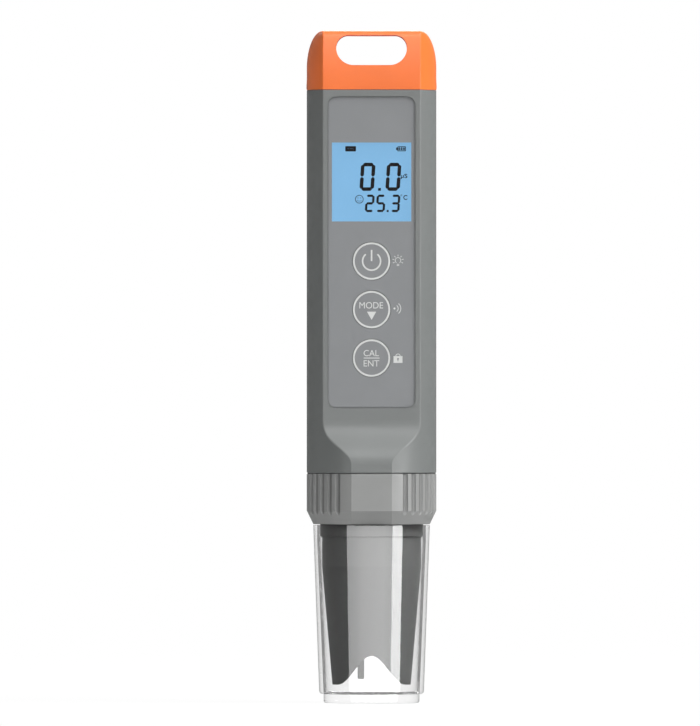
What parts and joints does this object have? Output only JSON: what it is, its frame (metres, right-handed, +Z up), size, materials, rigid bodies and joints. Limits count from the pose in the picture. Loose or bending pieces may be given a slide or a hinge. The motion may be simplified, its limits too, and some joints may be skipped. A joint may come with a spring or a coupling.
{
  "type": "pocket conductivity meter",
  "caption": "Pen-shaped pocket water tester with a display, round keys, a lift-off battery cap, a ribbed locking collar, a plug-in probe and a clear cap.",
  "frame": {"origin": "centre of the clear cap's foot, on the surface that the pen stands on", "axes": "+Z up along the pen, -Y out of the display, +X to the right of someone who reads it"},
  "size_m": [0.0368, 0.0361, 0.1901],
  "materials": {
    "grey_body": "fine satin moulding",
    "panel_grey": "printed satin film",
    "window_clear": "clear, polished",
    "foam_black": "closed foam",
    "display_blue": "backlit blue display glass",
    "guide_white": "milky light guide",
    "strip_rubber": "layered conductive rubber",
    "board_green": "coated board",
    "mat_silicone": "silicone",
    "switch_black": "moulded",
    "carrier_black": "moulded",
    "cell_wrap": "plain printed sleeve on steel",
    "spring_metal": "nickel plated strip",
    "screw_steel": "zinc plated",
    "socket_black": "moulded",
    "contact_brass": "gold flashed",
    "ribbon_film": "amber film",
    "orange_cap": "satin moulding",
    "seal_rubber": "smooth",
    "probe_grey": "satin moulding",
    "cell_resin": "potted resin",
    "electrode_graphite": "pressed graphite",
    "pin_steel": "polished",
    "cap_clear": "clear, polished"
  },
  "bodies": {
    "housing": {"housing": "grey_body", "front_panel": "panel_grey", "display_window": "window_clear", "display_gasket": "foam_black", "display_glass": "display_blue", "backlight": "guide_white", "contact_strip": "strip_rubber", "circuit_board": "board_green", "key_mat": "mat_silicone", "key_switches": "switch_black", "battery_carrier": "carrier_black", "left_cell": "cell_wrap", "right_cell": "cell_wrap", "cell_contacts": "spring_metal", "carrier_screws": "screw_steel", "probe_socket": "socket_black", "socket_contacts": "contact_brass", "socket_ribbon": "ribbon_film"},
    "battery_cap": {"battery_cap": "orange_cap", "battery_cap_seal": "seal_rubber", "contact_holder": "carrier_black", "bridge_contact": "spring_metal"},
    "power_key": {"power_key": "panel_grey"},
    "mode_key": {"mode_key": "panel_grey"},
    "calibrate_key": {"calibrate_key": "panel_grey"},
    "probe": {"probe_body": "probe_grey", "probe_guard": "probe_grey", "cell_body": "cell_resin", "electrode_rings": "electrode_graphite", "temperature_pin": "pin_steel", "plug_seal": "seal_rubber", "probe_pins": "contact_brass"},
    "collar": {"locking_collar": "grey_body"},
    "clear_cap": {"clear_cap": "cap_clear"}
  },
  "joints": [
    {"name": "battery_cap_pull", "type": "slide", "parent": "housing", "child": "battery_cap", "axis": [0, 0, 1], "range_m": [0, 0.03]},
    {"name": "power_key_press", "type": "slide", "parent": "housing", "child": "power_key", "axis": [0, 1, 0], "range_m": [0, 0.0004], "stiffness_N_per_m": 300, "springref_m": -0.0007},
    {"name": "mode_key_press", "type": "slide", "parent": "housing", "child": "mode_key", "axis": [0, 1, 0], "range_m": [0, 0.0004], "stiffness_N_per_m": 300, "springref_m": -0.0007},
    {"name": "calibrate_key_press", "type": "slide", "parent": "housing", "child": "calibrate_key", "axis": [0, 1, 0], "range_m": [0, 0.0004], "stiffness_N_per_m": 300, "springref_m": -0.0007},
    {"name": "probe_draw", "type": "slide", "parent": "housing", "child": "probe", "axis": [0, 0, -1], "range_m": [0, 0.006]},
    {"name": "collar_turn", "type": "hinge", "parent": "probe", "child": "collar", "pos_m": [0, 0, 0.0577], "axis": [0, 0, -1], "range_deg": [0, 540]},
    {"name": "clear_cap_pull", "type": "slide", "parent": "probe", "child": "clear_cap", "axis": [0, 0, -1], "range_m": [0, 0.055]}
  ],
  "couplings": [
    {"joint": "collar_turn", "follows": "probe_draw", "rad_per_m": 1570.8}
  ]
}
